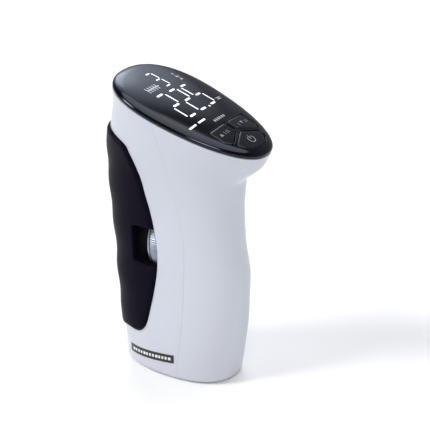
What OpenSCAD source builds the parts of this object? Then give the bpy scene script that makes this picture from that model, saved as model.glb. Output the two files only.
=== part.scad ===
// Hand dynamometer: a hand-held grip tester with a tilted display head.
// Z runs up the body, the sliding finger grip faces -X, the palm side faces +X.

/* [Body outline] */
// Height of the finger-side rim, mm
rim_left = 150.5; // [130:0.5:170]
// Height of the palm-side rim, mm
rim_right = 123; // [105:0.5:140]
// Roundness exponent of the sections, 2 is an ellipse
roundness = 2.3; // [2:0.05:3]
// Shift that centres the part on the row origin, mm
shift_x = 1.05; // [0:0.05:3]
// Radius of the bottom edge, mm
base_round = 3.5; // [1:0.1:6]
// Thickness of the shell walls, mm
wall = 2.2; // [1.5:0.1:3]
// Width of the seam between the two shells, mm
seam = 0.3; // [0.1:0.05:0.5]

/* [Grip] */
// How far the grip stands proud of the body, mm
grip_proud = 1.6; // [0.5:0.1:3]
// Width of the joint line around the grip, mm
grip_gap = 0.5; // [0.3:0.05:1]
// Thickness of the grip below the body surface, mm
grip_depth = 2.4; // [1.5:0.1:4]
// Depth of the finger scallops, mm
scallop = 0.8; // [0:0.1:2]
// Spacing of the finger scallops, mm
scallop_pitch = 23; // [18:0.5:28]

/* [Adjuster] */
// Height of the spindle above the base, mm
spindle_z = 71; // [66:0.5:76]
// Radius of the adjusting wheel, mm
wheel_r = 18; // [16:0.1:18.4]
// Width of the wheel rim, mm
wheel_w = 6.2; // [4:0.1:7]
// Radius of the spindle, mm
spindle_r = 4; // [3:0.1:5]
// Number of flutes around the wheel
flutes = 60; // [30:2:90]

/* [Head] */
// Tilt of the display head, degrees
head_tilt = 19.3; // [10:0.1:30]
// Rise of the domed lens above the rim, mm
dome = 4.9; // [4.6:0.1:5.4]
// Travel of the keys, mm
key_travel = 0.5; // [0.3:0.1:1]
// Height of the key tops above the rim, mm
key_top = 3.9; // [3:0.1:4.3]
// Height of one display digit, mm
digit_h = 20; // [12:0.5:24]
// Width of one display digit, mm
digit_w = 6.4; // [5:0.1:9]

/* [Battery] */
// Radius of one cell, mm
cell_r = 5.25; // [5:0.05:7.25]
// Length of one cell, mm
cell_l = 44.5; // [40:0.5:50]

/* [Hidden] */
fine = 64;
ring_n = 56;
white = [0.86, 0.87, 0.91];
black = [0.06, 0.06, 0.09];
steel = [0.7, 0.71, 0.73];
mean_rim = (rim_left + rim_right) / 2;
// Middle of the display head, measured from the body's own axis
head_x = 2.05;

// Stations up the body: fraction of height, left x, right x, half depth
stations = [[0, -34, 27.7, 20], [0.12, -35.5, 29.6, 20.4], [0.3, -38.4, 32, 19.4],
            [0.45, -40, 32.4, 18.5], [0.6, -42, 29.6, 18.7], [0.75, -42.6, 28.2, 20.2],
            [0.86, -40, 28.6, 23.2], [0.95, -37.6, 38.7, 25.4], [1, -37.2, 41.3, 26.7]];
// Taper of the sections towards the palm side: fraction of height, taper
tapers = [[0, 0], [0.5, 0.03], [0.8, 0.08], [1, 0.173]];
last = len(stations) - 1;

// Smooth monotone interpolation through the stations
function secant(i, c) = (stations[i + 1][c] - stations[i][c]) / (stations[i + 1][0] - stations[i][0]);
function mean_slope(p, q) = p * q <= 0 ? 0 : 2 * p * q / (p + q);
function slope(i, c) = i <= 0 ? secant(0, c) : i >= last ? secant(last - 1, c)
    : mean_slope(secant(i - 1, c), secant(i, c));
function span_of(f, i = 0) = i >= last - 1 || f < stations[i + 1][0] ? i : span_of(f, i + 1);
function blend(f, c) = let(i = span_of(f), h = stations[i + 1][0] - stations[i][0],
    t = (f - stations[i][0]) / h)
    (2*t*t*t - 3*t*t + 1) * stations[i][c] + (t*t*t - 2*t*t + t) * h * slope(i, c)
    + (3*t*t - 2*t*t*t) * stations[i + 1][c] + (t*t*t - t*t) * h * slope(i + 1, c);
function power(c, p) = sign(c) * pow(abs(c), p);
function base_inset(z) = z >= base_round ? 0
    : base_round - sqrt(base_round * base_round - (base_round - z) * (base_round - z));

// One closed section of the body at height fraction f, grown by g and raised by up
function section(f, g, up = 0) = let(
    xl = blend(f, 1), xr = blend(f, 2), d = g - base_inset(f * mean_rim),
    a = (xr - xl) / 2, b = blend(f, 3), egg = lookup(f, tapers),
    drop = f * (rim_right - rim_left) / 2)
    [for (k = [0:ring_n - 1]) let(
        t = 360 * k / ring_n,
        u = power(cos(t), 2 / roundness), v = power(sin(t), 2 / roundness))
        [(xl + xr) / 2 + (a + d) * u, (b * (1 - egg * u) + d) * v,
         f * mean_rim + drop * u * (a + d) / a + up]];

// Closed skin through a list of rings with equal point counts
module skin(rings) {
    n = len(rings[0]);
    m = len(rings);
    polyhedron(
        points = [for (r = rings) each r],
        faces = concat(
            [[for (k = [0:n - 1]) k]],
            [for (j = [0:m - 2], k = [0:n - 1])
                [j * n + k, (j + 1) * n + k, (j + 1) * n + (k + 1) % n, j * n + (k + 1) % n]],
            [[for (k = [n - 1:-1:0]) (m - 1) * n + k]]),
        convexity = 6);
}

// Heights at which the body is drawn
base_levels = [0, 0.003, 0.009, 0.017, 0.026];
body_levels = concat(base_levels, [for (i = [1:20]) 0.026 + 0.974 * i / 20]);

module body_solid() {
    skin([for (f = body_levels) section(f, 0)]);
}

module cavity(depth) {
    skin(concat([for (i = [0:16]) section(0.0165 + 0.98 * i / 16, -depth)],
                [section(1, -depth, 0), section(1, -depth, 3)]));
}

// Side view of the line where the two shells meet, from the base up
seam_line = [[3.4, -1], [4.2, 8], [5.9, 24], [6.9, 47], [6.6, 77], [4.8, 90],
             [2.2, 101], [-0.8, 119], [-4, 135], [-8, 156]];
// Side view of the edge where the grip meets the front shell, from the top round to the foot
grip_line = [[-52, 128.5], [-35.2, 127.3], [-23.3, 123.9], [-20, 119.4], [-17.3, 113.3],
             [-14.9, 106.4], [-13.2, 98.7], [-10.6, 88.3], [-7.9, 73.4], [-7.6, 62.9],
             [-8.4, 53.7], [-10, 43.8], [-11.8, 35.3], [-13.6, 28.4], [-15.6, 24.6],
             [-18.5, 22.3], [-21.6, 21.6], [-26.9, 21.3], [-34, 19.8], [-52, 18]];

module side_slab(points, half = 40) {
    translate([0, half, 0]) rotate([90, 0, 0]) linear_extrude(2 * half) polygon(points);
}

module rear_side(off) {
    side_slab(concat([for (p = seam_line) [p[0] + off, p[1]]], [[60, 156], [60, -1]]));
}

module side_slab_offset(points, off, half = 40) {
    translate([0, half, 0]) rotate([90, 0, 0]) linear_extrude(2 * half)
        offset(delta = off) polygon(points);
}

module in_row() {
    translate([shift_x, 0, 0]) children();
}

module in_head() {
    translate([shift_x + head_x, 0, mean_rim]) rotate([0, head_tilt, 0]) children();
}

// Round bar along X
module bar_x(x0, x1, r, z, y = 0, n = fine) {
    translate([x0, y, z]) rotate([0, 90, 0]) cylinder(h = x1 - x0, r = r, $fn = n);
}

// --- layout of the inner parts, all in body coordinates ---
pin_z = [38, 104];
bush_x = [-11.4, -14.4];
bulkhead = 1.8;
wheel_x = -14;
wheel_back = -7.4;
skirt_reach = 13.5;
beam_x = -3.5;
beam_t = 8;
beam_z0 = spindle_z - 21;
beam_z1 = spindle_z + 21;
chassis_x = 8;
chassis_t = 2;
carrier_x = -31;
carrier_t = 4;
screw_spots = [[9, 28.7], [-9, 28.7], [9, 113.2], [-9, 113.2]];
stroke = 12;
tray_half_x = 24.2;
tray_cx = -3;
tray_half_y = 11.2;
tray_top = 14.4;
cell_z = 8.2;
cell_y = 5.25;
door_half_x = 22.6;
door_half_y = 10.2;

module door_opening(grow) {
    translate([tray_cx - door_half_x - grow, -door_half_y - grow, -1])
        cube([2 * (door_half_x + grow), 2 * (door_half_y + grow), wall + 2]);
}

// --- shells ---
module front_shell() {
    color(white) in_row() resize([0, 0, 0]) {
        difference() {
            intersection() {
                body_solid();
                side_slab(concat([for (p = seam_line) [p[0] - seam / 2, p[1]]], [[-60, 156], [-60, -1]]));
            }
            difference() {
                cavity(wall);
                // keeps a bulkhead that closes the shell behind the grip
                side_slab_offset(grip_line, bulkhead);
                // keeps a cup around the adjusting wheel
                bar_x(-30, wheel_back + bulkhead, wheel_r + 0.5 + bulkhead, spindle_z, 0, 48);
                for (s = screw_spots) bar_x(-22, 5, 4, s[1], s[0], 24);
            }
            side_slab_offset(grip_line, 0);
            bar_x(-30, wheel_back, wheel_r + 0.5, spindle_z, 0, 48);
            for (z = pin_z) bar_x(-30, 10, 5.1, z, 0, 32);
            bar_x(-30, 10, 7.2, spindle_z, 0, 40);
            for (s = screw_spots) {
                bar_x(-30, 10, 1.75, s[1], s[0], 16);
                bar_x(-30, -8, 3.4, s[1], s[0], 20);
            }
            door_opening(0.15);
        }
        grip_skirt();
        // bosses that reach the chassis behind the seam
        for (s = screw_spots) difference() {
            bar_x(-7, chassis_x - 0.05, 4, s[1], s[0], 24);
            bar_x(-10, 10, 1.75, s[1], s[0], 16);
        }
    }
}

// Thin tongue inside the grip that keeps the joint closed while the grip slides out
module grip_skirt() {
    difference() {
        intersection() {
            skin([for (i = [0:16]) section(0.14 + 0.76 * i / 16, -grip_depth - 0.5)]);
            translate([0.6, 0, 0]) side_slab(grip_line);
        }
        skin([for (i = [0:16]) section(0.13 + 0.79 * i / 16, -grip_depth - 1.7)]);
        translate([-skirt_reach, 0, 0]) side_slab(grip_line);
        side_slab([[-60, 54], [-7.4, 54], [-7.4, 88.5], [-60, 88.5]]);
    }
}

module rear_shell() {
    color(white) in_row() resize([0, 0, 0]) {
        difference() {
            intersection() {
                body_solid();
                rear_side(seam / 2);
            }
            difference() {
                cavity(wall);
                for (s = screw_spots) bar_x(chassis_x + chassis_t, 40, 3.6, s[1], s[0], 24);
            }
            for (s = screw_spots) bar_x(0, chassis_x + chassis_t + 12, 1.45, s[1], s[0], 24);
            door_opening(0.15);
        }
    }
}

// --- head ---
function lens_ring(g, w, s = 1) = let(f = 1, xl = blend(1, 1), xr = blend(1, 2),
    a = (xr - xl) / 2 / cos(head_tilt), b = blend(1, 3), egg = lookup(1, tapers))
    [for (k = [0:ring_n - 1]) let(
        t = 360 * k / ring_n,
        u = power(cos(t), 2 / roundness), v = power(sin(t), 2 / roundness))
        [s * (a + g) * u, s * (b * (1 - egg * u) + g) * v, w]];

// Height of the lens top on the ring scaled by s
function dome_at(s) = dome - 1.6 * pow(s, 2.5);

key_side = [[16.4, 1.2], [16.6, 15.2], [25.2, 15.4], [28.6, 12.2], [22.9, 1.2]];
key_end = [[24.8, 0], [30, 11.4], [33.6, 9.4], [36.2, 5.6], [37, 0], [36.2, -5.6],
           [33.6, -9.4], [30, -11.4]];

module key_outline(which, grow) {
    offset(r = 1.2 + grow, $fn = 20) offset(delta = -1.2)
        if (which == "set") polygon(key_end);
        else if (which == "down") polygon(key_side);
        else mirror([0, 1]) polygon(key_side);
}

key_names = ["up", "down", "set"];
key_centres = [[22, -8.6], [22, 8.6], [31.6, 0]];

module rim_gasket() {
    color(black) in_head() resize([0, 0, 0]) difference() {
        skin([lens_ring(-0.7, 0.02), lens_ring(-0.7, 0.38)]);
        skin([lens_ring(-2.1, -1), lens_ring(-2.1, 1)]);
    }
}

module display_lens() {
    color([0.03, 0.03, 0.04]) in_head() resize([0, 0, 0]) {
        difference() {
            skin(concat([lens_ring(-0.5, 0.4), lens_ring(0, 0.75), lens_ring(0.1, 1.25),
                         lens_ring(-0.15, 1.8), lens_ring(-0.7, 2.4), lens_ring(-1.7, 2.9)],
                        [for (s = [1, 0.86, 0.71, 0.45, 0.15]) lens_ring(-3.5, dome_at(s), s)]));
            skin([lens_ring(-2.3, 0.1), lens_ring(-2.5, 1.1), lens_ring(-2.5, 1.7, 0.55),
                  lens_ring(-2.5, 1.8, 0.3)]);
            for (k = key_names) translate([0, 0, -1]) linear_extrude(9) key_outline(k, 0.35);
        }
        // bosses that carry the board from above
        for (s = board_screw_spots) translate([s[0], s[1], board_top]) difference() {
            cylinder(h = 2 - board_top, r = 1.8, $fn = 24);
            translate([0, 0, -1]) cylinder(h = 6, r = 0.86, $fn = 24);
        }
    }
}

module key_body(which, centre) {
    in_head() {
        translate([0, 0, 0.2]) linear_extrude(key_top - 0.2) key_outline(which, 0);
        // flange that keeps the key under the lens
        translate([0, 0, 0.1]) linear_extrude(0.8) key_outline(which, 0.8);
        translate([centre[0], centre[1], -2.8]) cylinder(h = 3.2, r = 1.6, $fn = fine);
    }
}

module key_up() {
    color(black) key_body("up", key_centres[0]);
}

module key_down() {
    color(black) key_body("down", key_centres[1]);
}

module key_set() {
    color(black) key_body("set", key_centres[2]);
}

board_w = -7;
board_t = 1.6;
module_t = 6.3;
board_top = board_w + board_t;

module tact_switches() {
    color(steel) in_head() for (c = key_centres)
        translate([c[0] - 3, c[1] - 3, board_top]) cube([6, 6, 2]);
}

module rounded_plate(x0, x1, half_y, r, t) {
    translate([x0 + r, -half_y, 0]) cube([x1 - x0 - 2 * r, 2 * half_y, t]);
    translate([x0, -half_y + r, 0]) cube([x1 - x0, 2 * half_y - 2 * r, t]);
    for (x = [x0 + r, x1 - r], y = [-half_y + r, half_y - r])
        translate([x, y, 0]) cylinder(h = t, r = r, $fn = fine);
}

board_screw_spots = [[-29.6, 0], [14, 0]];

module main_board() {
    color([0.1, 0.35, 0.2]) in_head() translate([0, 0, board_w]) difference() {
        rounded_plate(-33, 34, 15, 10, board_t);
        for (s = board_screw_spots) translate([s[0], s[1], -1]) cylinder(h = 4, r = 1, $fn = fine);
    }
}

module controller_chip() {
    color(black) in_head() translate([-2, -5, board_w - 1.6]) cube([10, 10, 1.6]);
}

module buzzer() {
    color(black) in_head() translate([-16, 4, board_w - 5]) cylinder(h = 5, r = 5, $fn = fine);
}

module board_screws() {
    color(steel) in_head() for (s = board_screw_spots) {
        translate([s[0], s[1], board_w - 1.2]) cylinder(h = 1.2, r = 1.9, $fn = fine);
        translate([s[0], s[1], board_w - 0.1]) cylinder(h = board_t + 3.5, r = 0.8, $fn = fine);
    }
}

module display_module() {
    color(black) in_head() {
        translate([-27, -14.5, board_top]) cube([39, 29, module_t]);
    }
}

face_w = board_top + module_t;

// One segment of a digit as a bar with pointed ends, from a to b
module segment(a, b, wide = 1.5) {
    d = b - a;
    n = d / norm(d);
    s = [-n[1], n[0]] * wide / 2;
    e = n * wide / 2;
    polygon([a, a + e + s, b - e + s, b, b - e - s, a + e - s]);
}

// Segment ends of a digit whose top faces -u and whose reading direction is +v
function dig(u, v, w, h) = [u * h, v * w];
module digit(lit, w, h, wide) {
    g = 0.06;
    ends = [[[0, g], [0, 1 - g]], [[g, 1], [0.5 - g / 2, 1]], [[0.5 + g / 2, 1], [1 - g, 1]],
            [[1, g], [1, 1 - g]], [[0.5 + g / 2, 0], [1 - g, 0]], [[g, 0], [0.5 - g / 2, 0]],
            [[0.5, g], [0.5, 1 - g]]];
    for (i = lit)
        segment(dig(ends[i][0][0], ends[i][0][1], w, h), dig(ends[i][1][0], ends[i][1][1], w, h), wide);
}

lit_two = [0, 1, 6, 4, 3];
lit_three = [0, 1, 6, 2, 3];
lit_five = [0, 5, 6, 2, 3];

module display_digits() {
    color([0.95, 0.98, 1]) in_head() translate([0, 0, face_w]) linear_extrude(0.25) {
        translate([-16.2, -11]) digit(lit_two, digit_w, digit_h, 1.5);
        translate([-16.2, -1.6]) digit(lit_two, digit_w, digit_h, 1.5);
        translate([-16.2, 7.6]) digit(lit_five, digit_w, digit_h, 1.5);
        translate([2.4, 5.4]) square(1.3);
    }
}

module display_icons() {
    color([0.8, 0.9, 1]) in_head() translate([0, 0, face_w]) linear_extrude(0.25) {
        translate([-24.5, 1.8]) digit(lit_three, 3.4, 6, 0.8);
        for (i = [0:3]) translate([-22.6, -9.2 + 2.4 * i]) square([3.2, 1.2]);
        translate([8.3, -12.4]) square([1.2, 5.2]);
        translate([8.3, -5.4]) square([1.2, 5.2]);
    }
}

// --- load path ---
module chassis() {
    color(steel) in_row() difference() {
        translate([chassis_x, -13, 22]) cube([chassis_t, 26, 97]);
        for (z = pin_z) bar_x(chassis_x - 1, chassis_x + chassis_t + 1, 5.03, z);
        bar_x(chassis_x - 1, chassis_x + chassis_t + 1, 6, spindle_z);
        for (s = screw_spots) bar_x(chassis_x - 1, chassis_x + chassis_t + 1, 1.8, s[1], s[0]);
        for (z = [beam_z0 + 4, beam_z1 - 4]) bar_x(chassis_x - 1, chassis_x + chassis_t + 1, 2.05, z);
    }
}

module load_beam() {
    color([0.78, 0.79, 0.8]) in_row() difference() {
        translate([beam_x, -8, beam_z0]) cube([beam_t, 16, 42]);
        bar_x(beam_x - 1, beam_x + beam_t + 1, spindle_r + 0.6, spindle_z);
        // thinned bending sections on both sides of the middle
        for (z = [spindle_z - 11, spindle_z + 11], x = [beam_x, beam_x + beam_t])
            translate([x, -9, z]) rotate([-90, 0, 0]) cylinder(h = 18, r = 2.4, $fn = fine);
        for (z = [beam_z0 + 4, beam_z1 - 4]) bar_x(beam_x - 1, beam_x + beam_t + 1, 2.05, z);
    }
}

module strain_gauges() {
    color([0.8, 0.5, 0.2]) in_row() for (z = [spindle_z - 11, spindle_z + 11], y = [-8.15, 8])
        translate([beam_x + 2.6, y, z - 2.5]) cube([2.8, 0.15, 5]);
}

module beam_spacers() {
    color(steel) in_row() for (z = [beam_z0 + 4, beam_z1 - 4]) difference() {
        bar_x(beam_x + beam_t, chassis_x, 4, z);
        bar_x(beam_x + beam_t - 1, chassis_x + 1, 2.05, z);
    }
}

module beam_screws() {
    color(steel) in_row() for (z = [beam_z0 + 4, beam_z1 - 4]) {
        bar_x(beam_x, chassis_x + chassis_t + 2, 2, z);
        difference() {
            bar_x(beam_x - 1.8, beam_x, 3.5, z);
            bar_x(beam_x - 3, beam_x - 0.8, 1.5, z, 0, 6);
        }
    }
}

module thrust_washer() {
    color(steel) in_row() difference() {
        bar_x(beam_x - 0.8, beam_x, 6.6, spindle_z);
        bar_x(beam_x - 2, beam_x + 1, spindle_r + 0.3, spindle_z);
    }
}

module adjust_wheel() {
    color([0.75, 0.76, 0.78]) in_row() difference() {
        union() {
            bar_x(wheel_x, wheel_x + 1, wheel_r - 0.3, spindle_z);
            bar_x(wheel_x + 1, wheel_x + 1.5, wheel_r - 1, spindle_z);
            bar_x(wheel_x + 1.5, wheel_x + wheel_w, wheel_r, spindle_z);
            bar_x(wheel_x + wheel_w, beam_x - 0.9, 6.4, spindle_z);
        }
        bar_x(wheel_x - 1, beam_x, spindle_r + 0.05, spindle_z);
        translate([0, 0, spindle_z]) for (i = [0:flutes - 1]) rotate([360 * i / flutes, 0, 0])
            translate([wheel_x + 1.5, 0, wheel_r]) rotate([45, 0, 0])
                translate([-0.01, -0.4, -0.4]) cube([wheel_w, 0.8, 0.8]);
        for (i = [0:5]) rotate_about_spindle(60 * i)
            bar_x(wheel_x - 1, wheel_x + wheel_w + 1, 3, spindle_z + 11.2);
    }
}

module rotate_about_spindle(a) {
    translate([0, 0, spindle_z]) rotate([a, 0, 0]) translate([0, 0, -spindle_z]) children();
}

spindle_x0 = carrier_x + carrier_t - 4;
spindle_x1 = 7;

module spindle() {
    color(steel) in_row() difference() {
        bar_x(spindle_x0, spindle_x1, spindle_r, spindle_z);
        for (i = [0:11]) translate([-24 + 2.5 * i, 0, 0]) difference() {
            bar_x(0, 0.8, spindle_r + 1, spindle_z);
            bar_x(-1, 2, spindle_r - 0.5, spindle_z);
        }
        translate([spindle_x0 + 2, 0, spindle_z - 10]) cylinder(h = 20, r = 1.02, $fn = fine);
    }
}

module spindle_pin() {
    color(steel) in_row() translate([spindle_x0 + 2, 0, spindle_z - 6.5])
        cylinder(h = 13, r = 1, $fn = fine);
}

module guide_pins() {
    color(steel) in_row() for (z = pin_z) {
        bar_x(carrier_x, 7, 3, z);
    }
}

module guide_bushes() {
    color([0.75, 0.6, 0.3]) in_row() for (i = [0, 1]) difference() {
        bar_x(bush_x[i], chassis_x + chassis_t, 5, pin_z[i]);
        bar_x(-20, chassis_x + chassis_t + 1, 3.06, pin_z[i]);
    }
}

// --- grip ---
grip_screw_z = [54, 88];

module grip_carrier() {
    color([0.25, 0.25, 0.28]) in_row() difference() {
        union() {
            translate([carrier_x, -9, 32]) cube([carrier_t, 18, 78]);
            bar_x(carrier_x, carrier_x + 8, 8, spindle_z);
            for (z = pin_z) bar_x(carrier_x, carrier_x + 8, 5.5, z);
            // cheeks that close the view through the wheel windows
            for (y = [-10.5, 9]) translate([carrier_x, y, 55]) cube([16.2, 1.5, 33]);
        }
        bar_x(carrier_x - 1, carrier_x + 9, spindle_r + 0.02, spindle_z);
        for (z = pin_z) bar_x(carrier_x - 1, carrier_x + 9, 3.02, z);
        for (z = grip_screw_z) bar_x(carrier_x - 1, carrier_x + 9, 1.6, z);
        translate([spindle_x0 + 2, 0, spindle_z - 9]) cylinder(h = 18, r = 1.01, $fn = fine);
    }
}

module grip_screws() {
    color(steel) in_row() for (z = grip_screw_z) {
        bar_x(carrier_x - 5, carrier_x + carrier_t, 1.5, z);
        bar_x(carrier_x + carrier_t, carrier_x + carrier_t + 1.8, 2.8, z);
    }
}

// Grip surface: the body section grown outwards, with shallow finger scallops
function waves(z) = z < 26 || z > 122 ? 0 : scallop * (cos(360 * (z - 28) / scallop_pitch) - 1) / 2;
function grip_section(f, g) = [for (p = section(f, g))
    let(front = max(0, min(1, (-p[0] - 14) / 20))) [p[0] - waves(p[2]) * front, p[1], p[2]]];

grip_levels = [for (i = [0:32]) 0.1 + 0.82 * i / 32];

module grip_cover() {
    color(black) in_row() resize([0, 0, 0]) difference() {
        intersection() {
            skin([for (f = grip_levels) grip_section(f, grip_proud)]);
            side_slab_offset(grip_line, -grip_gap);
        }
        difference() {
            skin([for (i = [0:16]) section(0.14 + 0.74 * i / 16, -grip_depth)]);
            for (z = grip_screw_z) bar_x(-50, carrier_x, 4, z, 0, 24);
            for (z = pin_z) bar_x(-50, carrier_x, 5, z, 0, 24);
        }
        for (z = grip_screw_z) bar_x(carrier_x - 6, carrier_x + 4, 1.56, z, 0, 16);
        // rear face opens onto the front shell; a window bares the wheel on each side
        window(0);
        mirror([0, 1, 0]) window(0);
    }
}

module window(grow) {
    translate([0, -12, 0]) rotate([90, 0, 0]) linear_extrude(14)
        offset(r = 1.6 + grow, $fn = 16) offset(delta = -1.6)
            polygon([[-21.6, 80.8], [3, 80.8], [3, 59.4], [-8, 60.4], [-21.6, 61.3]]);
}

// --- fixings ---
module shell_screws() {
    color(steel) in_row() for (s = screw_spots) {
        bar_x(-10, chassis_x + chassis_t + 10, 1.4, s[1], s[0]);
        bar_x(-10, -8, 2.8, s[1], s[0]);
    }
}

// --- battery compartment ---
module battery_tray() {
    color([0.3, 0.3, 0.32]) in_row() difference() {
        translate([tray_cx - tray_half_x, -tray_half_y, wall + 0.4])
            cube([2 * tray_half_x, 2 * tray_half_y, tray_top - wall - 0.4]);
        translate([tray_cx - tray_half_x + 0.7, -tray_half_y + 0.7, 0])
            cube([2 * tray_half_x - 1.4, 2 * tray_half_y - 1.4, tray_top - 0.8]);
    }
}

module batteries() {
    color([0.2, 0.35, 0.6]) in_row() for (s = [-1, 1]) {
        bar_x(tray_cx - cell_l / 2 + (s < 0 ? 1 : 0), tray_cx + cell_l / 2 - (s > 0 ? 1 : 0),
              cell_r - 0.05, cell_z, s * cell_y);
        if (s > 0) bar_x(tray_cx + cell_l / 2 - 1, tray_cx + cell_l / 2, 1.9, cell_z, cell_y);
        else bar_x(tray_cx - cell_l / 2, tray_cx - cell_l / 2 + 1, 1.9, cell_z, -cell_y);
    }
}

module battery_contacts() {
    color(steel) in_row() for (s = [-1, 1])
        translate([tray_cx + s * 22.7 - 0.15, -9.5, 4]) cube([0.3, 19, 8]);
}

module battery_door() {
    color(white) in_row() difference() {
        translate([tray_cx - door_half_x, -door_half_y, 0.3])
            cube([2 * door_half_x, 2 * door_half_y, 1.6]);
        // thumb notch
        translate([tray_cx + door_half_x, 0, -0.7]) cylinder(h = 1.8, r = 5, $fn = fine);
        for (i = [0:4]) translate([tray_cx + 10 + 1.6 * i, -5, 0]) cube([0.7, 10, 0.6]);
    }
}

// --- trim ---
module label_plate() {
    color(black) in_row() resize([0, 0, 0]) intersection() {
        difference() {
            skin([for (i = [4:7]) section(body_levels[i], 0.3)]);
            skin([for (i = [3:8]) section(body_levels[i], 0.01)]);
        }
        translate([0, -8, 0]) rotate([90, 0, 0]) linear_extrude(20)
            polygon([[-25.8, 11.6], [-25.8, 7], [2.4, 10], [2.4, 14.6]]);
    }
}

// Flat cable from the load beam up the palm side of the chassis to the board
module sensor_cable() {
    color([0.6, 0.6, 0.62]) in_row()
        translate([chassis_x + chassis_t + 0.3, -1.5, beam_z1 + 1]) cube([0.5, 3, 28]);
}

front_shell();
rear_shell();
rim_gasket();
display_lens();
key_up();
key_down();
key_set();
tact_switches();
display_module();
display_digits();
display_icons();
main_board();
controller_chip();
buzzer();
board_screws();
chassis();
load_beam();
strain_gauges();
beam_spacers();
beam_screws();
thrust_washer();
adjust_wheel();
spindle();
guide_pins();
guide_bushes();
grip_carrier();
grip_cover();
grip_screws();
spindle_pin();
shell_screws();
battery_tray();
batteries();
battery_contacts();
battery_door();
label_plate();
sensor_cable();
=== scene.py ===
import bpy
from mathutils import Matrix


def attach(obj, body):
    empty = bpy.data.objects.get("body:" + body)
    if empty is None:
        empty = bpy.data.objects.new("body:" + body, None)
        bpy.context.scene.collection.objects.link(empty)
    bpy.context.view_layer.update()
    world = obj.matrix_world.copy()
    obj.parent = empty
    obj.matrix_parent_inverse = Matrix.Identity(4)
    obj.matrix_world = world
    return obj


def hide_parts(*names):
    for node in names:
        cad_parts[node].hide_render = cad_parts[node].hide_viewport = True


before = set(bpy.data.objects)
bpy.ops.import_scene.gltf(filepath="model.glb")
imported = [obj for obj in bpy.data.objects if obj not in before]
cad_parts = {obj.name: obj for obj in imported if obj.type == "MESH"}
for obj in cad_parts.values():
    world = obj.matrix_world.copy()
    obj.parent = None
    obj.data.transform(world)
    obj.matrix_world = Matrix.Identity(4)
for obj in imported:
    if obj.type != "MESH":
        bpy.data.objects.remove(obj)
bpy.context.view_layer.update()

import math

import bmesh
import bpy
from mathutils import Matrix, Vector

MM = 0.001

# The object stands on z = 0 with its finger grip towards -x and its palm side towards +x.
# y = 0 is its mirror plane, and -y is the near side. Sizes are in mm until a mesh is made.

# ---------------------------------------------------------------- design sizes, mm
RIM_LEFT, RIM_RIGHT = 150.5, 123.0      # height of the head's rim at its two ends
MEAN_RIM = (RIM_LEFT + RIM_RIGHT) / 2
ROUNDNESS = 2.3                         # power of the rounded sections: 2 is an ellipse
SHIFT_X = 1.05                          # moves the side-view numbers so the box is centred on x = 0
BASE_ROUND = 3.5                        # radius of the bottom edge
WALL = 2.2                              # housing wall
HEAD_TILT = math.radians(19.3)
HEAD_X = 2.05                           # middle of the head's rim
DOME = 4.9                              # height of the lens top above the rim
DOME_FALL, DOME_POWER = 1.6, 2.5        # how much lower it is at the rolled edge, and how late it falls
GRIP_PROUD = 1.58                       # how far the grip stands out from the body surface
GRIP_DEPTH = 2.4                        # how far it goes in
GRIP_GAP = 0.45                         # gap between the grip's rim and the housing
SCALLOP = 0.8                           # depth of the finger scallops
SCALLOP_PITCH = 23.0
SCALLOP_Z = (26, 122)
SCALLOP_CREST_Z = 28
SCALLOP_FROM, SCALLOP_FADE = 14, 20     # where they start in front of x = 0, and deepen over
SPINDLE_Z = 71.0
WHEEL_R = 18.0
WHEEL_X = -14.0                         # the wheel's finger-side face
WHEEL_W = 6.2
WHEEL_BACK = -7.4                       # back wall of the wheel's recess
WHEEL_CLEAR = 0.5
WHEEL_BORE_R = 4.05
HUB_R = 6.4
HUB_END = -4.4
TEETH = 96
TOOTH_DEPTH = 0.32
BULKHEAD = 1.8                          # wall behind the grip and around the wheel's recess
SEAM = 0.07                             # gap between the two shells
KEY_SINK = 0.2                          # how far the keys lie below the lens top

# body sections: fraction of the rim height, finger-side x, palm-side x, half depth
STATIONS = [(0, -34, 27.7, 20), (0.12, -35.5, 29.6, 20.4), (0.3, -38.4, 32, 19.4),
            (0.45, -40, 32.4, 18.5), (0.6, -42, 29.6, 18.7), (0.75, -42.6, 28.2, 20.2),
            (0.86, -40, 28.6, 23.2), (0.95, -37.6, 38.7, 25.4), (1, -37.2, 41.3, 26.7)]
# how much each section narrows towards the palm side
TAPERS = [(0, 0), (0.5, 0.03), (0.8, 0.08), (1, 0.173)]
# side-view lines as (x, z): the seam between the shells, and the trimmed edge of the grip
SEAM_LINE = [(3.4, -1), (4.2, 8), (5.9, 24), (6.9, 47), (6.6, 77), (4.8, 90),
             (2.2, 101), (-0.8, 119), (-4, 135), (-8, 156)]
GRIP_LINE = [(-52, 128.5), (-35.2, 127.3), (-23.3, 123.9), (-20, 119.4), (-17.3, 113.3),
             (-14.9, 106.4), (-13.2, 98.7), (-10.6, 88.3), (-7.9, 73.4), (-7.6, 62.9),
             (-8.4, 53.7), (-10, 43.8), (-11.8, 35.3), (-13.6, 28.4), (-15.6, 24.6),
             (-18.5, 22.3), (-21.6, 21.6), (-26.9, 21.3), (-34, 19.8), (-52, 18)]
# shell screws as (y, z), and the heights of the grip's two guide pins
SCREW_SPOTS = [(9, 28.7), (-9, 28.7), (9, 113.2), (-9, 113.2)]
PIN_Z = (38, 104)
SCREW_R, BOSS_R = 3.4, 4
SKIRT_CLEAR, SKIRT_WALL = 0.5, 1.2
SKIRT_OVERLAP, SKIRT_LONG = 0.6, 13.5
SKIRT_GAP = (54, 88.5)                  # heights between which it is cut away for the wheel
FAR_X, ABOVE = 60, 156                  # side-view limits that lie outside the whole object
PIN_HOLE_R = 5.1
SPINDLE_HOLE_R = 7.2
DOOR_X, DOOR_HALF_X, DOOR_HALF_Y = -3.0, 22.75, 10.35


# ---------------------------------------------------------------- body surface
def secant(i, c):
    """Slope of column c between stations i and i + 1."""
    a, b = STATIONS[i], STATIONS[i + 1]
    return (b[c] - a[c]) / (b[0] - a[0])


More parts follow.
